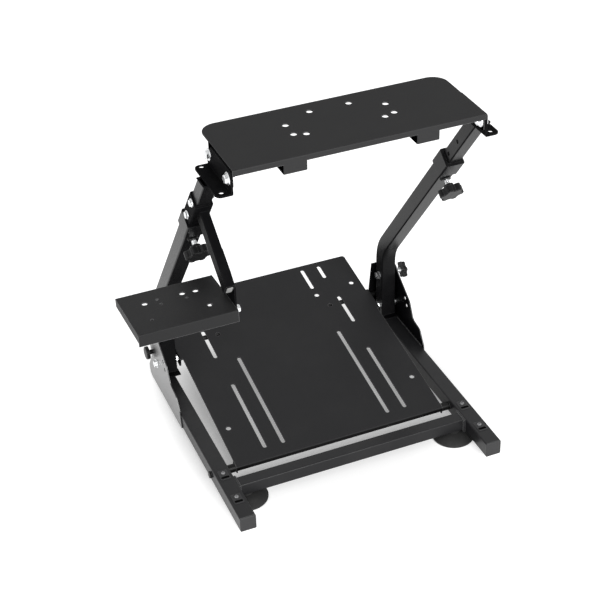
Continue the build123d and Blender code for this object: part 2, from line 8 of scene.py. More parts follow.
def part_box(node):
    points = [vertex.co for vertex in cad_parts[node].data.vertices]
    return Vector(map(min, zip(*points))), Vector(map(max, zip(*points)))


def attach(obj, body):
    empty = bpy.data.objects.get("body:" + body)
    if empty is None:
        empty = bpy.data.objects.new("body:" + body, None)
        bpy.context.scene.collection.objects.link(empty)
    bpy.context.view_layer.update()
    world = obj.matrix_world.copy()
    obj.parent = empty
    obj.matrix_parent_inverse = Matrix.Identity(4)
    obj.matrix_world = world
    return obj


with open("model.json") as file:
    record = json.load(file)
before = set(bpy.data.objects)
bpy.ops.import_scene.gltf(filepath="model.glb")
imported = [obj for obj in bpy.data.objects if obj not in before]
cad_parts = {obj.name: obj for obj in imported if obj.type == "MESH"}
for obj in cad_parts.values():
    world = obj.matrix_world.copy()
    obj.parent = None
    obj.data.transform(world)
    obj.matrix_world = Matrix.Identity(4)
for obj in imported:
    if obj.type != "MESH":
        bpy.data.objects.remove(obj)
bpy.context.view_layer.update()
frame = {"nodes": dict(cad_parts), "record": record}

# Floor rails and front cross tube
# Square steel tube, sawn and welded into one base, then sprayed with satin black powder and baked.
# The coat has a fine orange-peel grain and faint handling clouds; its edges are painted paler, partly as
# rubbed wear and partly as a painted highlight.
COAT_NEEDS = ("Colour", "Roughness", "Grain per metre", "Clouds per metre", "Dust", "Edge rub")
COAT_GIVES = ("Colour", "Roughness", "Height")
DUST_GREY = (0.085, 0.084, 0.082, 1)
DUST_CLOUDS = (0.45, 0.8)
RUB_AND_HIGHLIGHT_GREY = (0.24, 0.24, 0.243, 1)
RUB_REACH = 0.0018
RUB_TURN = (0.98, 0.8)
GRAIN_SPAN = (0.3, 0.7)
GRAIN_DEPTH = 0.0004
GLOSS_SWING = (-0.06, 0.06)


def feed(tree, socket, value):
    """Sets an input to a value, or links it to another node's output."""
    if isinstance(value, bpy.types.NodeSocket):
        tree.links.new(value, socket)
    else:
        socket.default_value = value


def node(tree, kind, settings=None, **sockets):
    """A node with its settings and inputs; an input may be a value or another node's output."""
    made = tree.nodes.new(kind)
    for key, value in (settings or {}).items():
        setattr(made, key, value)
    for key, value in sockets.items():
        feed(tree, made.inputs[key.replace("_", " ")], value)
    return made


def worked_out(tree, operation, first, second=0.0):
    """The result of one step of arithmetic."""
    made = node(tree, "ShaderNodeMath", {"operation": operation})
    feed(tree, made.inputs[0], first)
    feed(tree, made.inputs[1], second)
    return made.outputs[0]


def dotted(tree, first, second):
    """How far one direction or place goes along another."""
    made = node(tree, "ShaderNodeVectorMath", {"operation": "DOT_PRODUCT"})
    feed(tree, made.inputs[0], first)
    feed(tree, made.inputs[1], second)
    return made.outputs["Value"]


def ranged(tree, value, span=(0.0, 1.0), result=(0.0, 1.0), kind="LINEAR"):
    """Where the value lies in a span, as a value between the two results."""
    return node(tree, "ShaderNodeMapRange", {"interpolation_type": kind}, Value=value, From_Min=span[0],
                From_Max=span[1], To_Min=result[0], To_Max=result[1]).outputs["Result"]


def blended(tree, share, first, second):
    """A colour between two, which is all of the second where the share is 1."""
    made = node(tree, "ShaderNodeMix", {"data_type": "RGBA"})
    feed(tree, made.inputs[0], share)
    feed(tree, made.inputs[6], first)
    feed(tree, made.inputs[7], second)
    return made.outputs[2]


def on_piece(tree):
    """The place on the piece, in metres."""
    return node(tree, "ShaderNodeTexCoord").outputs["Object"]


coat = bpy.data.node_groups.new("powder coat", "ShaderNodeTree")
for direction, labels in (("INPUT", COAT_NEEDS), ("OUTPUT", COAT_GIVES)):
    for label in labels:
        socket_kind = "NodeSocketColor" if label == "Colour" else "NodeSocketFloat"
        coat.interface.new_socket(name=label, in_out=direction, socket_type=socket_kind)
coat_in = coat.nodes.new("NodeGroupInput").outputs
coat_out = coat.nodes.new("NodeGroupOutput").inputs
coat_place = on_piece(coat)
coat_grain = node(coat, "ShaderNodeTexNoise", Vector=coat_place, Scale=coat_in["Grain per metre"],
                  Detail=3.0, Roughness=0.55).outputs["Fac"]
coat_clouds = node(coat, "ShaderNodeTexNoise", Vector=coat_place, Scale=coat_in["Clouds per metre"],
                   Detail=4.0, Roughness=0.6).outputs["Fac"]
coat_dust = ranged(coat, coat_clouds, DUST_CLOUDS)
# Edges found by the bevel are painted paler: partly rubbed wear, partly a painted highlight.
coat_round = node(coat, "ShaderNodeBevel", {"samples": 6}, Radius=RUB_REACH).outputs["Normal"]
coat_turn = dotted(coat, coat_round, node(coat, "ShaderNodeNewGeometry").outputs["Normal"])
coat_edge = ranged(coat, coat_turn, RUB_TURN)
coat_dusted = blended(coat, worked_out(coat, "MULTIPLY", coat_dust, coat_in["Dust"]),
                      coat_in["Colour"], DUST_GREY)
coat_rubbed_and_highlit = blended(coat, worked_out(coat, "MULTIPLY", coat_edge, coat_in["Edge rub"]),
                      coat_dusted, RUB_AND_HIGHLIGHT_GREY)
coat_uneven = ranged(coat, coat_grain, GRAIN_SPAN, GLOSS_SWING)
feed(coat, coat_out["Colour"], coat_rubbed_and_highlit)
feed(coat, coat_out["Roughness"], worked_out(coat, "ADD", coat_uneven, coat_in["Roughness"]))
feed(coat, coat_out["Height"], coat_grain)


# rub sets how much the edges are painted paler, as rubbed wear and as a painted highlight.
def coated(name, colour, roughness, grain, bump, specular=0.3, clouds=9.0, dust=0.1, rub=0.5):
    """Material with the shared coat, in its own colour, gloss and depth of grain."""
    made = bpy.data.materials.new(name)
    made.use_nodes = True
    tree = made.node_tree
    finish = tree.nodes["Principled BSDF"]
    finish.inputs["Specular IOR Level"].default_value = specular
    layer = node(tree, "ShaderNodeGroup", {"node_tree": coat}, Colour=(*colour, 1), Roughness=roughness,
                 Grain_per_metre=grain, Clouds_per_metre=clouds, Dust=dust, Edge_rub=rub)
    relief = node(tree, "ShaderNodeBump", Strength=bump, Distance=GRAIN_DEPTH,
                  Height=layer.outputs["Height"])
    feed(tree, finish.inputs["Base Color"], layer.outputs["Colour"])
    feed(tree, finish.inputs["Roughness"], layer.outputs["Roughness"])
    feed(tree, finish.inputs["Normal"], relief.outputs["Normal"])
    return made


def finish_nodes(material, *names):
    """Gives the frame's own parts a finish."""
    for name in names:
        mesh = frame["nodes"][name].data
        mesh.materials.clear()
        mesh.materials.append(material)


tube_coat = coated("satin black tube coat", (0.014, 0.014, 0.015), roughness=0.34, grain=950, bump=0.16,
                   specular=0.2)
finish_nodes(tube_coat, "left_rail", "right_rail", "front_cross_tube")

# Rail end caps
# Plugs of black polyethylene pushed into the tube ends, a little duller than the coat.
cap_plastic = coated("black cap plastic", (0.026, 0.026, 0.027), roughness=0.5, grain=500, bump=0.15,
                     dust=0.05, rub=0.1)
finish_nodes(cap_plastic, "left_rail_caps", "right_rail_caps")

# Rubber feet
# Wide domes moulded in black rubber under the cross tube, and small stops under the rails' rear ends.
foot_rubber = coated("black foot rubber", (0.016, 0.016, 0.016), roughness=0.62, grain=350, bump=0.25,
                     clouds=25, dust=0.25, rub=0.05)
finish_nodes(foot_rubber, "front_left_foot", "front_right_foot", "rear_left_foot", "rear_right_foot")

# Gussets and tie rod
# Laser-cut sheet with a smoother, glossier coat than the tube, dull on the faces that look inward, which
# also carry painted shade: their colour is made near black.
# A blacked rod with round heads ties the two sides together behind the arms.
GUSSET_ROUGH = 0.34
GUSSET_IOR = 1.76
OUTWARD = (-0.6, 0.4)
SHADE_AND_WEB_BLACK = (0.003, 0.003, 0.0035)


def facing_x(tree):
    """1 on a face that looks to the right, -1 on one that looks to the left."""
    normal = node(tree, "ShaderNodeNewGeometry").outputs["True Normal"]
    return node(tree, "ShaderNodeSeparateXYZ", Vector=normal).outputs["X"]


def painted_shade(material, kept, dark):
    """Paints shade into the material's colour: dark where little of it is kept."""
    tree = material.node_tree
    colour = tree.nodes["Principled BSDF"].inputs["Base Color"]
    full = colour.links[0].from_socket
    feed(tree, colour, blended(tree, kept, (*dark, 1), full))


def glossed(material, weight, roughness, ior=1.5):
    """Lays a gloss over the material, as much of it as the weight says."""
    finish = material.node_tree.nodes["Principled BSDF"]
    feed(material.node_tree, finish.inputs["Coat Weight"], weight)
    finish.inputs["Coat Roughness"].default_value = roughness
    finish.inputs["Coat IOR"].default_value = ior


gusset_coat = coated("glossy black gusset coat", (0.024, 0.024, 0.025), GUSSET_ROUGH, grain=700, bump=0.08,
                     specular=0.03, rub=0.06)
gusset_tree = gusset_coat.node_tree
gusset_spot = node(gusset_tree, "ShaderNodeSeparateXYZ", Vector=on_piece(gusset_tree))
gusset_hand = worked_out(gusset_tree, "SIGN", gusset_spot.outputs["X"])
gusset_look = worked_out(gusset_tree, "MULTIPLY", gusset_hand, facing_x(gusset_tree))
gusset_outer = ranged(gusset_tree, gusset_look, OUTWARD)
# Painted shade: the gussets' faces that look inward are coloured near black.
painted_shade(gusset_coat, gusset_outer, SHADE_AND_WEB_BLACK)
glossed(gusset_coat, gusset_outer, GUSSET_ROUGH, GUSSET_IOR)
web_coat = coated("satin black web coat", SHADE_AND_WEB_BLACK, roughness=0.5, grain=850, bump=0.25, specular=0.03,
                  rub=0.1)
black_bolt = coated("blacked bolt steel", (0.006, 0.006, 0.006), roughness=0.42, grain=700, bump=0.1,
                    specular=0.15, dust=0.03)
finish_nodes(gusset_coat, "left_outer_gusset", "right_outer_gusset")
finish_nodes(web_coat, "left_inner_gusset", "right_inner_gusset")
finish_nodes(black_bolt, "tie_rod")

# Welds of the base
# Hand-laid beads, sprayed over with the coat: round the cross tube's ends, along the gussets and the webs.
BEAD_R = 0.0016
BEAD_STEP = 0.0017
BEAD_SEED = 3
BEAD_LEAST = (0.8, 0.8, 0.8)
BEAD_MOST = (1.1, 1.1, 1.1)
CROSS_SIZE = 0.025
END_PLATE_T = 0.003
GUSSET_TOE = 0.012
SQUARE_RING = ((-1, -1), (-1, 1), (1, 1), (1, -1), (-1, -1))


def new_tree(name, **sizes):
    """Geometry tree with named sizes and a finish; gives the tree, its inputs and its outputs."""
    tree = bpy.data.node_groups.new(name, "GeometryNodeTree")
    tree.interface.new_socket(name="Geometry", in_out="INPUT", socket_type="NodeSocketGeometry")
    for key, value in sizes.items():
        kind = "NodeSocketInt" if isinstance(value, int) else "NodeSocketFloat"
        size = tree.interface.new_socket(name=key.replace("_", " "), in_out="INPUT", socket_type=kind)
        size.default_value = value
    tree.interface.new_socket(name="Finish", in_out="INPUT", socket_type="NodeSocketMaterial")
    tree.interface.new_socket(name="Geometry", in_out="OUTPUT", socket_type="NodeSocketGeometry")
    return tree, tree.nodes.new("NodeGroupInput").outputs, tree.nodes.new("NodeGroupOutput").inputs


def grown(piece, tree, body, slot, **values):
    """The tree's result on the piece as a plain mesh that rides on a body."""
    maker = piece.modifiers.new(tree.name, "NODES")
    maker.node_group = tree
    for socket in tree.interface.items_tree:
        label = socket.name.replace(" ", "_")
        if socket.in_out == "INPUT" and label in values:
            maker[socket.identifier] = values[label]
    seen = piece.evaluated_get(bpy.context.evaluated_depsgraph_get())
    shape = bpy.data.meshes.new_from_object(seen)
    piece.modifiers.remove(maker)
    piece.data = shape
    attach(piece, body)


def weld_lines(name, lines):
    """Loose edges that weld beads follow, one run of points for each line."""
    mesh = bpy.data.meshes.new(name)
    points = [point for line in lines for point in line]
    edges = []
    start = 0
    for line in lines:
        edges += [(start + i, start + i + 1) for i in range(len(line) - 1)]
        start += len(line)
    mesh.from_pydata(points, edges, [])
    made = bpy.data.objects.new(name, mesh)
    bpy.context.scene.collection.objects.link(made)
    return made


bead_tree, bead_in, bead_result = new_tree("weld bead", Radius=BEAD_R, Step=BEAD_STEP, Seed=BEAD_SEED)
bead_path = node(bead_tree, "GeometryNodeMeshToCurve", Mesh=bead_in["Geometry"])
bead_points = node(bead_tree, "GeometryNodeCurveToPoints", {"mode": "LENGTH"},
                   Curve=bead_path.outputs["Curve"], Length=bead_in["Step"])
bead_drop = node(bead_tree, "GeometryNodeMeshIcoSphere", Radius=bead_in["Radius"], Subdivisions=2)
bead_uneven = node(bead_tree, "FunctionNodeRandomValue", {"data_type": "FLOAT_VECTOR"}, Min=BEAD_LEAST,
                   Max=BEAD_MOST, Seed=bead_in["Seed"])
bead_copies = node(bead_tree, "GeometryNodeInstanceOnPoints", Points=bead_points.outputs["Points"],
                   Instance=bead_drop.outputs["Mesh"], Scale=bead_uneven.outputs["Value"])
bead_real = node(bead_tree, "GeometryNodeRealizeInstances", Geometry=bead_copies.outputs["Instances"])
bead_smooth = node(bead_tree, "GeometryNodeSetShadeSmooth", Geometry=bead_real.outputs["Geometry"])
bead_coated = node(bead_tree, "GeometryNodeSetMaterial", Geometry=bead_smooth.outputs["Geometry"],
                   Material=bead_in["Finish"])
feed(bead_tree, bead_result["Geometry"], bead_coated.outputs["Geometry"])

cross_low, cross_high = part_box("front_cross_tube")
rail_low, rail_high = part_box("right_rail")
gusset_low, gusset_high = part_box("right_outer_gusset")
web_low, web_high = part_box("right_inner_gusset")
rail_top = rail_high[2]
cross_y = (cross_low[1] + cross_high[1]) / 2
cross_z = (cross_low[2] + cross_high[2]) / 2
cross_half = CROSS_SIZE / 2
base_lines = []
for side in (-1, 1):
    cross_end = side * (cross_high[0] - END_PLATE_T)
    base_lines.append([(cross_end, cross_y + cross_half * y, cross_z + cross_half * z)
                       for y, z in SQUARE_RING])
    base_lines.append([(side * rail_high[0], y, rail_top)
                       for y in (gusset_low[1] + GUSSET_TOE, web_low[1])])
    base_lines.append([(side * x, web_high[1], rail_top) for x in (rail_low[0], rail_high[0])])
base_welds = weld_lines("base_welds", base_lines)
grown(base_welds, bead_tree, "base", "black_steel", Finish=tube_coat)

# Rail-top guide pads
# Two low pads on each rail, taken to be nylon. A near-black strip on each pad's user's side is painted
# shade, put where a dark gap shows.
# Each is held down by one dull pan-head screw.
PAD_X = 0.018
PAD_Y = 0.026
PAD_H = 0.0012
PAD_AHEAD = 0.004
PAD_CORNER = 0.002
PAD_WALL = 0.7
PAD_RIM = 0.3
PAD_DRAW = 0.93
PAD_MERGE = 0.00001
STRIP_X = 0.016
STRIP_Y = 0.0055
STRIP_H = 0.0014
STRIP_AHEAD = 0.0115
SCREW_Y = (-0.150, -0.219)
SCREW_R = 0.0043
SCREW_H = 0.0024
SCREW_SIDES = 24
SCREW_WALL = 0.55
SCREW_DOME = 0.45
SCREW_BROW = 0.93
SCREW_CROWN = 0.62
RECESS_LONG = 1.15
RECESS_THIN = 0.24
SPANGLE = 260.0
PLATING_ROUGH = (0.24, 0.44)
UP = (0, 0, 1)


def stations(name, places):
    """Loose points for a node tree, each with the direction that its piece looks in."""
    mesh = bpy.data.meshes.new(name)
    mesh.from_pydata([place for place, _ in places], [], [])
    looks = mesh.attributes.new("looks", "FLOAT_VECTOR", "POINT")
    looks.data.foreach_set("vector", [value for _, look in places for value in look])
    made = bpy.data.objects.new(name, mesh)
    bpy.context.scene.collection.objects.link(made)
    return made


def part_of(tree, size, share):
    """A share of one of the tree's sizes."""
    return worked_out(tree, "MULTIPLY", size, share)


def joined(tree, *shapes):
    """Several shapes as one."""
    made = node(tree, "GeometryNodeJoinGeometry")
    for shape in shapes:
        tree.links.new(shape, made.inputs[0])
    return made.outputs[0]


def raised(tree, shape, height):
    """The shape, lifted along its axis."""
    lift = node(tree, "ShaderNodeCombineXYZ", Z=height)
    return node(tree, "GeometryNodeTransform", Geometry=shape, Translation=lift.outputs[0]).outputs[0]


def frustum(tree, sides, foot, head, height):
    """Closed round or many-sided drum that stands on its foot."""
    return node(tree, "GeometryNodeMeshCone", Vertices=sides, Radius_Bottom=foot, Radius_Top=head,
                Depth=height).outputs["Mesh"]


def set_out(tree, given, result, shape):
    """Puts the shape on every station, with its foot on the face and its axis along the look."""
    looks = node(tree, "GeometryNodeInputNamedAttribute", {"data_type": "FLOAT_VECTOR"}, Name="looks")
    turned = node(tree, "FunctionNodeAlignRotationToVector", {"axis": "Z"},
                  Vector=looks.outputs["Attribute"])
    copies = node(tree, "GeometryNodeInstanceOnPoints", Points=given["Geometry"], Instance=shape,
                  Rotation=turned.outputs["Rotation"])
    real = node(tree, "GeometryNodeRealizeInstances", Geometry=copies.outputs["Instances"])
    finished = node(tree, "GeometryNodeSetMaterial", Geometry=real.outputs["Geometry"],
                    Material=given["Finish"])
    feed(tree, result["Geometry"], finished.outputs["Geometry"])


pad_tree, pad_in, pad_result = new_tree("soft-cornered pad", Width=PAD_X, Length=PAD_Y, Height=PAD_H,
                                        Corner=PAD_CORNER)
pad_outline = node(pad_tree, "GeometryNodeCurvePrimitiveQuadrilateral", Width=pad_in["Width"],
                   Height=pad_in["Length"])
pad_corners = node(pad_tree, "GeometryNodeFilletCurve", {"mode": "POLY"},
                   Curve=pad_outline.outputs["Curve"], Count=5, Radius=pad_in["Corner"])
pad_fill = node(pad_tree, "GeometryNodeFillCurve", {"mode": "NGONS"}, Curve=pad_corners.outputs["Curve"])
pad_sole = pad_fill.outputs["Mesh"]
pad_wall = node(pad_tree, "GeometryNodeExtrudeMesh", Mesh=pad_sole, Individual=False,
                Offset_Scale=part_of(pad_tree, pad_in["Height"], PAD_WALL))
pad_rim = node(pad_tree, "GeometryNodeExtrudeMesh", Mesh=pad_wall.outputs["Mesh"], Individual=False,
               Selection=pad_wall.outputs["Top"], Offset_Scale=part_of(pad_tree, pad_in["Height"], PAD_RIM))
pad_top = node(pad_tree, "GeometryNodeScaleElements", Geometry=pad_rim.outputs["Mesh"],
               Selection=pad_rim.outputs["Top"], Scale=PAD_DRAW)
pad_under = node(pad_tree, "GeometryNodeFlipFaces", Mesh=pad_sole)
pad_closed = node(pad_tree, "GeometryNodeMergeByDistance", Distance=PAD_MERGE,
                  Geometry=joined(pad_tree, pad_top.outputs["Geometry"], pad_under.outputs["Mesh"]))
set_out(pad_tree, pad_in, pad_result, pad_closed.outputs["Geometry"])

screw_tree, screw_in, screw_result = new_tree("pan screw", Radius=SCREW_R, Height=SCREW_H)
screw_brow = part_of(screw_tree, screw_in["Radius"], SCREW_BROW)
screw_crown = part_of(screw_tree, screw_in["Radius"], SCREW_CROWN)
screw_wall = part_of(screw_tree, screw_in["Height"], SCREW_WALL)
screw_rise = part_of(screw_tree, screw_in["Height"], SCREW_DOME)
screw_drum = frustum(screw_tree, SCREW_SIDES, screw_in["Radius"], screw_brow, screw_wall)
screw_dome = frustum(screw_tree, SCREW_SIDES, screw_brow, screw_crown, screw_rise)
screw_head = joined(screw_tree, screw_drum, raised(screw_tree, screw_dome, screw_wall))
screw_recessed = node(screw_tree, "GeometryNodeMeshBoolean", {"operation": "DIFFERENCE"}, Mesh_1=screw_head)
recess_long = part_of(screw_tree, screw_in["Radius"], RECESS_LONG)
recess_thin = part_of(screw_tree, screw_in["Radius"], RECESS_THIN)
for recess_x, recess_y in ((recess_long, recess_thin), (recess_thin, recess_long)):
    recess_size = node(screw_tree, "ShaderNodeCombineXYZ", X=recess_x, Y=recess_y, Z=screw_in["Height"])
    recess = node(screw_tree, "GeometryNodeMeshCube", Size=recess_size.outputs[0]).outputs["Mesh"]
    recess_cut = raised(screw_tree, recess, screw_in["Height"])
    screw_tree.links.new(recess_cut, screw_recessed.inputs["Mesh 2"])
set_out(screw_tree, screw_in, screw_result, screw_recessed.outputs["Mesh"])


def plated(name, dark, light):
    """Zinc plating with a fine spangle between two greys."""
    made = bpy.data.materials.new(name)
    made.use_nodes = True
    tree = made.node_tree
    finish = tree.nodes["Principled BSDF"]
    finish.inputs["Metallic"].default_value = 1.0
    spangle = node(tree, "ShaderNodeTexNoise", Vector=on_piece(tree), Scale=SPANGLE,
                   Detail=4.0).outputs["Fac"]
    feed(tree, finish.inputs["Base Color"], blended(tree, spangle, (*dark, 1), (*light, 1)))
    feed(tree, finish.inputs["Roughness"], ranged(tree, spangle, result=PLATING_ROUGH))
    return made


dull_zinc = plated("dull zinc", dark=(0.16, 0.16, 0.165), light=(0.3, 0.3, 0.305))
# Painted shade: the strip is near black to stand for the dark gap in front of each pad.
strip_shade_black = coated("near-black strip of painted shade", (0.002, 0.002, 0.002), roughness=0.9, grain=1500, bump=0.4,
                    specular=0.02, dust=0.02, rub=0.0)
rail_x = (rail_low[0] + rail_high[0]) / 2
screw_spots = [(side * rail_x, y) for side in (-1, 1) for y in SCREW_Y]
rail_pads = stations("rail_pads", [((x, y - PAD_AHEAD, rail_top), UP) for x, y in screw_spots])
grown(rail_pads, pad_tree, "base", "black_plastic", Finish=cap_plastic)
pad_strips = stations("pad_strips", [((x, y - STRIP_AHEAD, rail_top), UP) for x, y in screw_spots])
grown(pad_strips, pad_tree, "base", "black_plastic", Finish=strip_shade_black, Width=STRIP_X, Length=STRIP_Y,
      Height=STRIP_H)
pad_screws = stations("pad_screws", [((x, y, rail_top + PAD_H), UP) for x, y in screw_spots])
grown(pad_screws, screw_tree, "base", "zinc_steel", Finish=dull_zinc)

# Pedal plate
# One pressed sheet with slots and turned-down ears, bolted between the rails and hung on the fold bolts.
# Its coat is duller than the tube's. Its lip and ears carry painted shade: their colour is made near black.
# Its corner bolts are blacked.
PEDAL_TILT = math.radians(9.5)
PEDAL_OVER = 0.0104
BEND_DEPTH = (0.003, 0.0012)
BELOW_BEND_SHADE = (0.002, 0.002, 0.002)
joint_places = {joint["name"]: joint for joint in frame["record"]["behaviour"]["joints"]}
fold_y, fold_z = joint_places["arm_fold"]["pos_m"][1:]
pedal_up = Vector((0, -math.sin(PEDAL_TILT), math.cos(PEDAL_TILT)))
pedal_level = pedal_up.dot(Vector((0, fold_y, fold_z))) + PEDAL_OVER
pedal_coat = coated("satin black plate coat", (0.022, 0.022, 0.023), roughness=0.5, grain=800, bump=0.3,
                    specular=0.1, dust=0.06)
pedal_tree = pedal_coat.node_tree
pedal_height = dotted(pedal_tree, on_piece(pedal_tree), pedal_up)
pedal_bend = [pedal_level - depth for depth in BEND_DEPTH]
# Painted shade: the lip and ears, below the bend, are coloured near black.
painted_shade(pedal_coat, ranged(pedal_tree, pedal_height, pedal_bend), BELOW_BEND_SHADE)
finish_nodes(pedal_coat, "pedal_plate")
finish_nodes(black_bolt, "left_pedal_bolt", "right_pedal_bolt")

# Fold bolts
# Zinc-plated bolts through gusset, arm and pedal ear, with a plain washer under each head.
# A blacked stop pin sits in the gusset's top pin hole above each of them.
HEX_R = 0.0075
HEX_H = 0.005
HEX_FLAT = 0.78
HEX_BEVEL = 0.22
HEX_BROW = 0.88
HEX_SIDES = 6
WASHER_R = 0.0095
WASHER_T = 0.0012
WASHER_DRAW = 0.96
WASHER_SIDES = 32
TIP_R = 0.004
TIP_SUNK = -0.001
TIP_DRAW = 0.86
TIP_SIDES = 20
FOLD_HEX_R = 0.0066
FOLD_HEX_H = 0.004
PIN_RING = 0.0605
PIN_R = 0.0046
PIN_H = 0.0018


def both_sides(x, spots, look=1):
    """Stations at the spots on the left and the right, which look outward, or inward where look is -1."""
    return [((side * x, y, z), (look * side, 0, 0)) for side in (-1, 1) for y, z in spots]


zinc = plated("bright zinc", dark=(0.62, 0.63, 0.64), light=(0.82, 0.83, 0.83))
finish_nodes(zinc, "left_fold_bolt", "right_fold_bolt")
hex_tree, hex_in, hex_result = new_tree("hex fastener", Corner_radius=HEX_R, Height=HEX_H,
                                        Washer_radius=WASHER_R, Washer_height=WASHER_T,
                                        Tip_radius=TIP_R, Tip=TIP_SUNK)
hex_flat = part_of(hex_tree, hex_in["Height"], HEX_FLAT)
hex_bevel = part_of(hex_tree, hex_in["Height"], HEX_BEVEL)
hex_brow = part_of(hex_tree, hex_in["Corner radius"], HEX_BROW)
hex_drum = frustum(hex_tree, HEX_SIDES, hex_in["Corner radius"], hex_in["Corner radius"], hex_flat)
hex_shoulder = frustum(hex_tree, HEX_SIDES, hex_in["Corner radius"], hex_brow, hex_bevel)
hex_block = joined(hex_tree, hex_drum, raised(hex_tree, hex_shoulder, hex_flat))
washer_brow = part_of(hex_tree, hex_in["Washer radius"], WASHER_DRAW)
hex_washer = frustum(hex_tree, WASHER_SIDES, hex_in["Washer radius"], washer_brow, hex_in["Washer height"])
tip_brow = part_of(hex_tree, hex_in["Tip radius"], TIP_DRAW)
tip_end = worked_out(hex_tree, "ADD", hex_in["Height"], hex_in["Tip"])
hex_tip = frustum(hex_tree, TIP_SIDES, hex_in["Tip radius"], tip_brow, tip_end)
hex_upper = raised(hex_tree, joined(hex_tree, hex_block, hex_tip), hex_in["Washer height"])
set_out(hex_tree, hex_in, hex_result, joined(hex_tree, hex_washer, hex_upper))

gusset_face = gusset_high[0]
fold_washers = stations("fold_washers", both_sides(gusset_face, [(fold_y, fold_z)]))
grown(fold_washers, hex_tree, "base", "zinc_steel", Finish=zinc, Corner_radius=FOLD_HEX_R,
      Height=FOLD_HEX_H)
stop_pins = stations("stop_pins", both_sides(gusset_face, [(fold_y, fold_z + PIN_RING)]))
grown(stop_pins, screw_tree, "base", "zinc_steel", Finish=black_bolt, Radius=PIN_R, Height=PIN_H)

# Bent lower arms with their collars
# Square tube bent once, with a thicker square collar pressed over its top and a clamp nut welded below it.
# A zinc nut for the lock bolt sits on each arm's inner face.
LOCK_NUT_R = 0.0075
LOCK_NUT_H = 0.006
LOCK_NUT_TIP = 0.001
LOCK_WASHER_R = 0.0085
LOCK_WASHER_T = 0.0008
CLAMP_NUT_R = 0.009
CLAMP_NUT_BACK = 0.005
CLAMP_BEAD_R = 0.0013
CLAMP_BEAD_STEP = 0.0014
RING_STEPS = 24
ARM_BLACK = (0.006, 0.006, 0.0065)
arm_coat = coated("satin black arm coat", ARM_BLACK, roughness=0.3, grain=950, bump=0.12, specular=0.09,
                  rub=0.15)
finish_nodes(arm_coat, "left_lower_arm", "right_lower_arm", "left_collar", "right_collar")
lock_z = joint_places["right_lock_turn"]["pos_m"][2]
arm_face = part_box("right_lower_arm")[0][0]
lock_nuts = stations("lock_nuts", both_sides(arm_face, [(fold_y, lock_z)], look=-1))
grown(lock_nuts, hex_tree, "arms", "zinc_steel", Finish=dull_zinc, Corner_radius=LOCK_NUT_R,
      Height=LOCK_NUT_H, Washer_height=LOCK_WASHER_T, Washer_radius=LOCK_WASHER_R, Tip=LOCK_NUT_TIP)

slide_up = Vector(joint_places["deck_height"]["axis"])
clamp_out = Vector(joint_places["right_clamp_turn"]["axis"])
across = Vector((1, 0, 0))
ring_turns = [math.tau * i / RING_STEPS for i in range(RING_STEPS + 1)]
ring_ways = [math.cos(turn) * across + math.sin(turn) * slide_up for turn in ring_turns]
arm_lines = []
for name in ("left_clamp_turn", "right_clamp_turn"):
    foot = Vector(joint_places[name]["pos_m"]) - CLAMP_NUT_BACK * clamp_out
    arm_lines.append([foot + CLAMP_NUT_R * way for way in ring_ways])
arm_welds = weld_lines("arm_welds", arm_lines)
grown(arm_welds, bead_tree, "arms", "black_steel", Finish=arm_coat, Radius=CLAMP_BEAD_R,
      Step=CLAMP_BEAD_STEP)

# Star knobs
# Moulded black plastic grips on zinc-plated threaded studs: two lock the fold, two clamp the height.
STUD_R = 0.00405
STUD_PLAY = 0.0002
STUD_SIDES = 24
THREAD_PITCH = 0.00125
THREAD_RIDGE = 0.3
LOCK_GRIP = 0.0085
CLAMP_STUD = 0.010
knob_plastic = coated("black knob plastic", (0.006, 0.006, 0.0062), roughness=0.42, grain=650, bump=0.12,
                      specular=0.14, dust=0.04, rub=0.3)
finish_nodes(knob_plastic, "left_lock_knob", "right_lock_knob", "left_clamp_knob", "right_clamp_knob")
stud_tree, stud_in, stud_result = new_tree("threaded stud", Length=CLAMP_STUD, Radius=STUD_R,
                                           Pitch=THREAD_PITCH)
stud_turns = worked_out(stud_tree, "DIVIDE", stud_in["Length"], stud_in["Pitch"])
stud_helix = node(stud_tree, "GeometryNodeCurveSpiral", Resolution=20, Rotations=stud_turns,
                  Start_Radius=stud_in["Radius"], End_Radius=stud_in["Radius"], Height=stud_in["Length"])
stud_ridge = node(stud_tree, "GeometryNodeCurvePrimitiveCircle", Resolution=6,
                  Radius=part_of(stud_tree, stud_in["Pitch"], THREAD_RIDGE))
stud_thread = node(stud_tree, "GeometryNodeCurveToMesh", Curve=stud_helix.outputs["Curve"],
                   Profile_Curve=stud_ridge.outputs["Curve"], Fill_Caps=True)
stud_core = frustum(stud_tree, STUD_SIDES, stud_in["Radius"], stud_in["Radius"], stud_in["Length"])
set_out(stud_tree, stud_in, stud_result, joined(stud_tree, stud_core, stud_thread.outputs["Mesh"]))

knob_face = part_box("right_lock_knob")[1][0]
lock_length = knob_face - LOCK_GRIP - gusset_face - 2 * STUD_PLAY
clamp_length = CLAMP_STUD - 2 * STUD_PLAY
for side, name in ((-1, "left"), (1, "right")):
    lock_foot = (side * (gusset_face + STUD_PLAY), fold_y, lock_z)
    lock_stud = stations(f"{name}_lock_stud", [(lock_foot, (side, 0, 0))])
    grown(lock_stud, stud_tree, f"{name}_lock", "zinc_steel", Finish=zinc, Length=lock_length)
    clamp_foot = Vector(joint_places[f"{name}_clamp_turn"]["pos_m"]) + STUD_PLAY * clamp_out
    clamp_stud = stations(f"{name}_clamp_stud", [(clamp_foot, clamp_out)])
    grown(clamp_stud, stud_tree, f"{name}_clamp", "zinc_steel", Finish=zinc, Length=clamp_length)

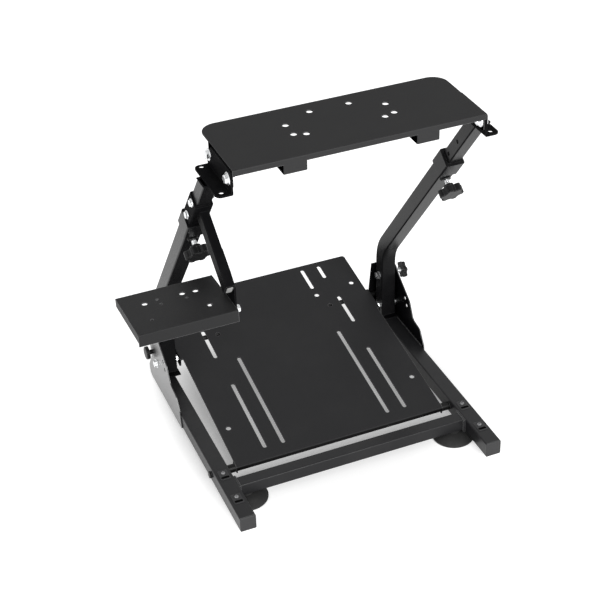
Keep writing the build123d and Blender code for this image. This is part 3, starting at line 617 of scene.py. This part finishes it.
# Upper tubes and angle brackets
# Square tubes that telescope in the arms, welded at their tops under bent angle brackets.
# Two large zinc bolts with washers hold each bracket to the deck's side flange, with nuts behind it.
BOLT_IN = (0.015, 0.1015)
BOLT_DOWN = 0.018
BOLT_R = 0.0078
BOLT_H = 0.005
BOLT_WASHER_R = 0.011
NUT_R = 0.0065
NUT_TIP = 0.002
FLANGE_NUT_H = 0.005
FLANGE_T = 0.002
BRACKET_T = 0.003
upper_coat = coated("satin black upper tube coat", ARM_BLACK, roughness=0.3, grain=950, bump=0.12,
                    specular=0.09, rub=0.15)
bracket_coat = coated("satin black bracket coat", (0.004, 0.004, 0.0045), roughness=0.6, grain=850,
                      bump=0.25, specular=0.01, rub=0.05)
finish_nodes(upper_coat, "left_upper_tube", "right_upper_tube")
finish_nodes(bracket_coat, "left_deck_bracket", "right_deck_bracket")
bracket_low, bracket_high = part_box("right_deck_bracket")
bolt_spots = [(bracket_low[1] + y, bracket_high[2] - BOLT_DOWN) for y in BOLT_IN]
bracket_bolts = stations("bracket_bolts", both_sides(bracket_low[0] + BRACKET_T, bolt_spots))
grown(bracket_bolts, hex_tree, "upper", "zinc_steel", Finish=zinc, Corner_radius=BOLT_R, Height=BOLT_H,
      Washer_radius=BOLT_WASHER_R)
flange_nuts = stations("flange_nuts", both_sides(bracket_low[0] - FLANGE_T, bolt_spots, look=-1))
grown(flange_nuts, hex_tree, "upper", "zinc_steel", Finish=zinc, Corner_radius=NUT_R, Height=FLANGE_NUT_H,
      Tip=NUT_TIP)

# Wheel deck
# One folded sheet with a front lip and two boxed tabs under its near edge; the top has a fine matt coat.
# Its faces that look sideways, such as those of the tabs and the side flanges, have no gloss and carry
# painted shade: their colour is made near black.
DECK_ROUGH = 0.52
DECK_SHINE = 0.3
SIDEWAYS = (0.95, 0.75)
SIDE_SHADE_BLACK = (0.001, 0.001, 0.001)
deck_coat = coated("satin black deck coat", (0.023, 0.023, 0.0235), DECK_ROUGH, grain=800, bump=0.3,
                   specular=0.0, dust=0.05)
deck_tree = deck_coat.node_tree
deck_unshaded = ranged(deck_tree, worked_out(deck_tree, "ABSOLUTE", facing_x(deck_tree)), SIDEWAYS)
# Painted shade: faces that look sideways are coloured near black.
painted_shade(deck_coat, deck_unshaded, SIDE_SHADE_BLACK)
glossed(deck_coat, ranged(deck_tree, deck_unshaded, result=(0.0, DECK_SHINE)), DECK_ROUGH)
finish_nodes(deck_coat, "wheel_deck")

# Shifter mount
# A sleeve held round the left tube by two zinc bolts, and a flat tube welded to it as an arm.
# The arm drops toward the user and carries an upright plate and a folded tray. A pale plug closes its end.
SLEEVE_BOLT_R = 0.0064
SLEEVE_BOLT_H = 0.0032
SLEEVE_WASHER_R = 0.0075
SLEEVE_NUT_H = 0.0055
PLATE_BOLT_YZ = (-0.231, 0.449)
PLATE_BOLT_H = 0.0045
PLATE_WASHER_R = 0.008
ARM_L = 0.150
ARM_FALL = math.radians(36.3)
ARM_IN = 0.003
PLUG_W = 0.010
PLUG_L = 0.018
PLUG_H = 0.0012
MM_PER_M = 1000
shifter_coat = coated("satin black shifter coat", (0.004, 0.004, 0.0045), roughness=0.5, grain=850,
                      bump=0.25, specular=0.03, rub=0.2)
tray_coat = coated("satin black tray coat", (0.022, 0.022, 0.0225), roughness=0.5, grain=800, bump=0.28,
                   specular=0.08, dust=0.05)
plug_plastic = coated("pale plug plastic", (0.3, 0.3, 0.295), roughness=0.5, grain=400, bump=0.1, rub=0.0)
finish_nodes(bracket_coat, "shifter_sleeve", "shifter_plate")
finish_nodes(shifter_coat, "shifter_arm")
finish_nodes(tray_coat, "shifter_tray")
tube_holes = next(mount for mount in frame["record"]["mounts"] if mount["name"] == "right_tube_holes")
hole_mid = Vector(tube_holes["pos_m"])
hole_step = slide_up * tube_holes["dims"]["pcd_mm"] / (2 * MM_PER_M)
hole_spots = [Vector((0, hole_mid.y, hole_mid.z)) + sign * hole_step for sign in (-1, 1)]
sleeve_low, sleeve_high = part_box("shifter_sleeve")
sleeve_bolts = stations("sleeve_bolts", [((sleeve_low[0], *spot.yz), (-1, 0, 0)) for spot in hole_spots])
grown(sleeve_bolts, hex_tree, "upper", "zinc_steel", Finish=zinc, Corner_radius=SLEEVE_BOLT_R,
      Height=SLEEVE_BOLT_H, Washer_radius=SLEEVE_WASHER_R)
sleeve_nuts = stations("sleeve_nuts", [((sleeve_high[0], *spot.yz), (1, 0, 0)) for spot in hole_spots])
grown(sleeve_nuts, hex_tree, "upper", "zinc_steel", Finish=zinc, Corner_radius=NUT_R, Height=SLEEVE_NUT_H,
      Tip=NUT_TIP)
plate_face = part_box("shifter_plate")[1][0]
plate_bolt = stations("plate_bolt", [((plate_face, *PLATE_BOLT_YZ), (1, 0, 0))])
grown(plate_bolt, hex_tree, "upper", "zinc_steel", Finish=zinc, Corner_radius=NUT_R, Height=PLATE_BOLT_H,
      Washer_radius=PLATE_WASHER_R)
arm_root = Vector((ARM_IN - hole_mid.x, hole_mid.y, hole_mid.z))
arm_way = Vector((0, -math.cos(ARM_FALL), -math.sin(ARM_FALL)))
arm_plug = stations("arm_plug", [(arm_root + ARM_L * arm_way, arm_way)])
grown(arm_plug, pad_tree, "upper", "black_plastic", Finish=plug_plastic, Width=PLUG_W, Length=PLUG_L,
      Height=PLUG_H)

# Welds of the upper frame
# The same hand-laid beads, round the tops of the upper tubes and where the shifter arm meets its sleeve.
TUBE_SIZE = 0.025
ARM_W = 0.016
ARM_H = 0.028
TOP_RING = ((-1, 0), (1, 0), (1, 1), (-1, 1), (-1, 0))
tube_low, tube_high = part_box("right_upper_tube")
tube_mid = (tube_low[0] + tube_high[0]) / 2
tube_lean = TUBE_SIZE / slide_up.z
upper_lines = []
for side in (-1, 1):
    upper_lines.append([(side * (tube_mid + TUBE_SIZE / 2 * x), tube_low[1] + tube_lean * y, tube_high[2])
                        for x, y in TOP_RING])
sleeve_front = arm_root + (sleeve_high[0] - sleeve_low[0]) / 2 * arm_way
upper_lines.append([sleeve_front + ARM_W / 2 * x * across + ARM_H / 2 * up * slide_up
                    for x, up in SQUARE_RING])
upper_welds = weld_lines("upper_welds", upper_lines)
grown(upper_welds, bead_tree, "upper", "black_steel", Finish=bracket_coat)

# Studio floor
# A wide pale sweep that shows white to the camera and in reflections, and still takes soft shadow.
# It glows less in a round patch under the object: a painted shadow, which also lets the real shadow there
# show.
FLOOR_SIZE = 14
FLOOR_GREY = (0.85, 0.85, 0.85, 1)
FLOOR_ROUGH = 0.9
WHITE = (1, 1, 1, 1)
GLOW_IN_PAINTED_SHADOW = 0.3
GLOW_FAR = 0.85
GLOW_SPREAD = (0.2, 0.45)


def shown_rays(tree):
    """1 for rays from the camera, a mirror or a glass, 0 for the rays that only carry light."""
    rays = node(tree, "ShaderNodeLightPath").outputs
    direct = worked_out(tree, "MAXIMUM", rays["Is Camera Ray"], rays["Is Glossy Ray"])
    return worked_out(tree, "MAXIMUM", direct, rays["Is Transmission Ray"])


floor_mesh = bpy.data.meshes.new("studio_floor")
floor_shape = bmesh.new()
bmesh.ops.create_grid(floor_shape, x_segments=1, y_segments=1, size=FLOOR_SIZE)
floor_shape.to_mesh(floor_mesh)
floor_shape.free()
studio_floor = bpy.data.objects.new("studio_floor", floor_mesh)
bpy.context.scene.collection.objects.link(studio_floor)
floor_paint = bpy.data.materials.new("pale floor paint")
floor_paint.use_nodes = True
floor_tree = floor_paint.node_tree
floor_finish = floor_tree.nodes["Principled BSDF"]
floor_finish.inputs["Base Color"].default_value = FLOOR_GREY
floor_finish.inputs["Roughness"].default_value = FLOOR_ROUGH
floor_finish.inputs["Specular IOR Level"].default_value = 0.0
floor_finish.inputs["Emission Color"].default_value = WHITE
floor_way = node(floor_tree, "ShaderNodeVectorMath", {"operation": "LENGTH"}, Vector=on_piece(floor_tree))
# Painted shadow: the glow drops in a round patch about the floor's middle, under the object.
floor_shadow_glow = ranged(floor_tree, floor_way.outputs["Value"], GLOW_SPREAD, (GLOW_IN_PAINTED_SHADOW, GLOW_FAR),
                     kind="SMOOTHSTEP")
floor_glow = worked_out(floor_tree, "MULTIPLY", shown_rays(floor_tree), floor_shadow_glow)
feed(floor_tree, floor_finish.inputs["Emission Strength"], floor_glow)
floor_mesh.materials.append(floor_paint)

# Studio light
# A wide soft box in front and a weaker one on the left, in a white room.
ROOM_LIGHT = 0.25
LIT_SPOT = Vector((0, 0, 0.35))
world = bpy.data.worlds.new("white room")
bpy.context.scene.world = world
world.use_nodes = True
world_tree = world.node_tree
world_light = world_tree.nodes["Background"]
world_light.inputs["Color"].default_value = WHITE
feed(world_tree, world_light.inputs["Strength"],
     ranged(world_tree, shown_rays(world_tree), result=(ROOM_LIGHT, 1.0)))


def soft_box(name, place, width, height, watts):
    """A rectangular lamp that looks at the middle of the object."""
    light = bpy.data.lights.new(name, "AREA")
    light.shape = "RECTANGLE"
    light.size = width
    light.size_y = height
    light.energy = watts
    lamp = bpy.data.objects.new(name, light)
    lamp.location = place
    lamp.rotation_euler = (LIT_SPOT - Vector(place)).to_track_quat("-Z", "Y").to_euler()
    bpy.context.scene.collection.objects.link(lamp)


soft_box("front soft box", place=(0.3, -3.2, 1.9), width=2.2, height=1.6, watts=130)
soft_box("left soft box", place=(-2.6, -0.6, 1.5), width=1.8, height=1.8, watts=30)

# Camera
# Set up from the picture's own straight edges: place, turn and lens.
CAMERA_PLACE = (-0.82467, -2.05382, 1.75782)
LENS = 87.004
SENSOR = 36.0
FAR_CLIP = 50
camera_data = bpy.data.cameras.new("photo camera")
camera_data.sensor_width = SENSOR
camera_data.lens = LENS
camera_data.clip_end = FAR_CLIP
photo_camera = bpy.data.objects.new("photo camera", camera_data)
camera_right = Vector((0.9232, -0.3832, -0.0308)).normalized()
camera_down = Vector((-0.2385, -0.5079, -0.8277)).normalized()
camera_ahead = Vector((0.3015, 0.7715, -0.5603)).normalized()
camera_turn = Matrix((camera_right, -camera_down, -camera_ahead)).transposed().to_4x4()
photo_camera.matrix_world = Matrix.Translation(CAMERA_PLACE) @ camera_turn
bpy.context.scene.collection.objects.link(photo_camera)
bpy.context.scene.camera = photo_camera
bpy.context.scene.view_settings.view_transform = "Standard"
